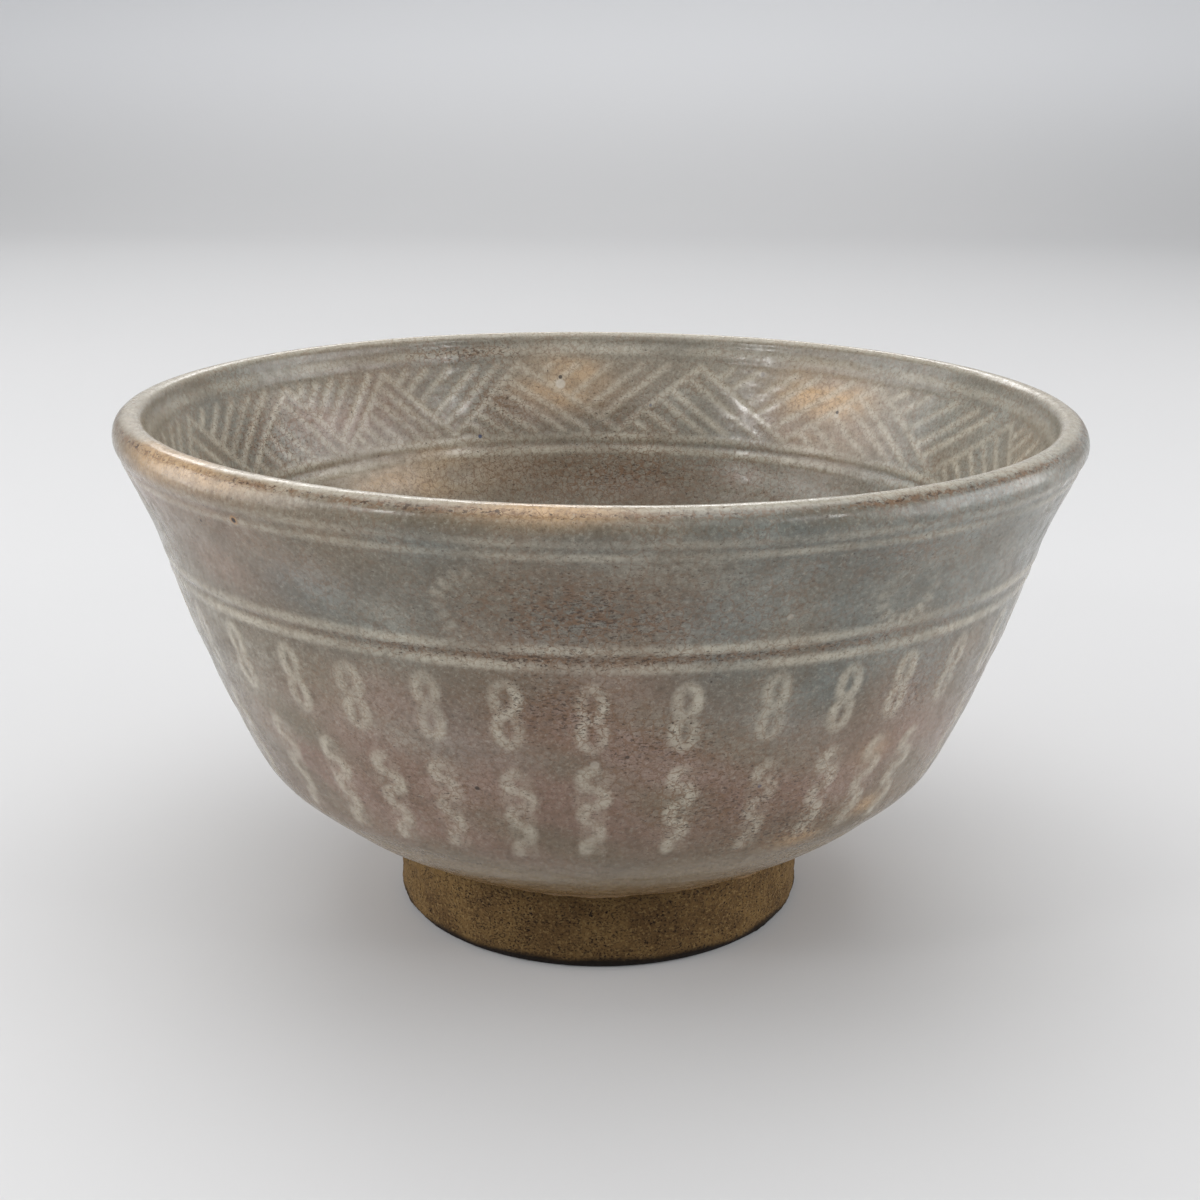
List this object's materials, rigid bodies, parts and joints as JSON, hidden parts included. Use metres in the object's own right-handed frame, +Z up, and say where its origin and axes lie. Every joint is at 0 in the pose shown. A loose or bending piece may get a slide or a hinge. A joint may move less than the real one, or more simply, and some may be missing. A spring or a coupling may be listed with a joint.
{
  "type": "tea bowl",
  "caption": "Thrown stoneware tea bowl with an everted lip, a turned corner over a small bare foot ring, and white slip inlaid in lines, hatching and rope stamps.",
  "frame": {"origin": "centre of the foot ring's resting face", "axes": "+Z up along the bowl's axis; -Y is the side that faces the camera"},
  "size_m": [0.13, 0.13, 0.072],
  "materials": {
    "glaze": "semi-matt glaze",
    "glaze_edge": "semi-gloss",
    "white_slip": "semi-matt under glaze",
    "bare_clay": "rough"
  },
  "bodies": {
    "root": {"bowl_body": "glaze", "foot_ring": "bare_clay", "glaze_edge_bead": "glaze_edge", "rim_line_upper_inlay": "white_slip", "rim_line_lower_inlay": "white_slip", "belt_line_upper_inlay": "white_slip", "belt_line_lower_inlay": "white_slip", "mouth_line_inner_inlay": "white_slip", "belt_line_inner_upper_inlay": "white_slip", "belt_line_inner_lower_inlay": "white_slip", "hatch_inlay_01": "white_slip", "hatch_inlay_02": "white_slip", "hatch_inlay_03": "white_slip", "hatch_inlay_04": "white_slip", "hatch_inlay_05": "white_slip", "hatch_inlay_06": "white_slip", "hatch_inlay_07": "white_slip", "hatch_inlay_08": "white_slip", "hatch_inlay_09": "white_slip", "hatch_inlay_10": "white_slip", "hatch_inlay_11": "white_slip", "hatch_inlay_12": "white_slip", "hatch_inlay_13": "white_slip", "hatch_inlay_14": "white_slip", "rope_stamp_inlay_01": "white_slip", "rope_stamp_inlay_02": "white_slip", "rope_stamp_inlay_03": "white_slip", "rope_stamp_inlay_04": "white_slip", "rope_stamp_inlay_05": "white_slip", "rope_stamp_inlay_06": "white_slip", "rope_stamp_inlay_07": "white_slip", "rope_stamp_inlay_08": "white_slip", "rope_stamp_inlay_09": "white_slip", "rope_stamp_inlay_10": "white_slip", "rope_stamp_inlay_11": "white_slip", "rope_stamp_inlay_12": "white_slip", "rope_stamp_inlay_13": "white_slip", "rope_stamp_inlay_14": "white_slip", "rope_stamp_inlay_15": "white_slip", "rope_stamp_inlay_16": "white_slip", "rope_stamp_inlay_17": "white_slip", "rope_stamp_inlay_18": "white_slip", "rope_stamp_inlay_19": "white_slip", "rope_stamp_inlay_20": "white_slip", "rope_stamp_inlay_21": "white_slip", "rope_stamp_inlay_22": "white_slip", "rope_stamp_inlay_23": "white_slip", "rope_stamp_inlay_24": "white_slip", "rope_stamp_inlay_25": "white_slip", "rope_stamp_inlay_26": "white_slip", "rope_stamp_inlay_27": "white_slip", "rope_stamp_inlay_28": "white_slip", "rope_stamp_inlay_29": "white_slip", "rope_stamp_inlay_30": "white_slip", "rope_stamp_inlay_31": "white_slip", "rope_stamp_inlay_32": "white_slip", "rope_stamp_inlay_33": "white_slip", "rope_stamp_inlay_34": "white_slip", "rope_stamp_inlay_35": "white_slip", "rope_stamp_inlay_36": "white_slip"}
  },
  "joints": []
}
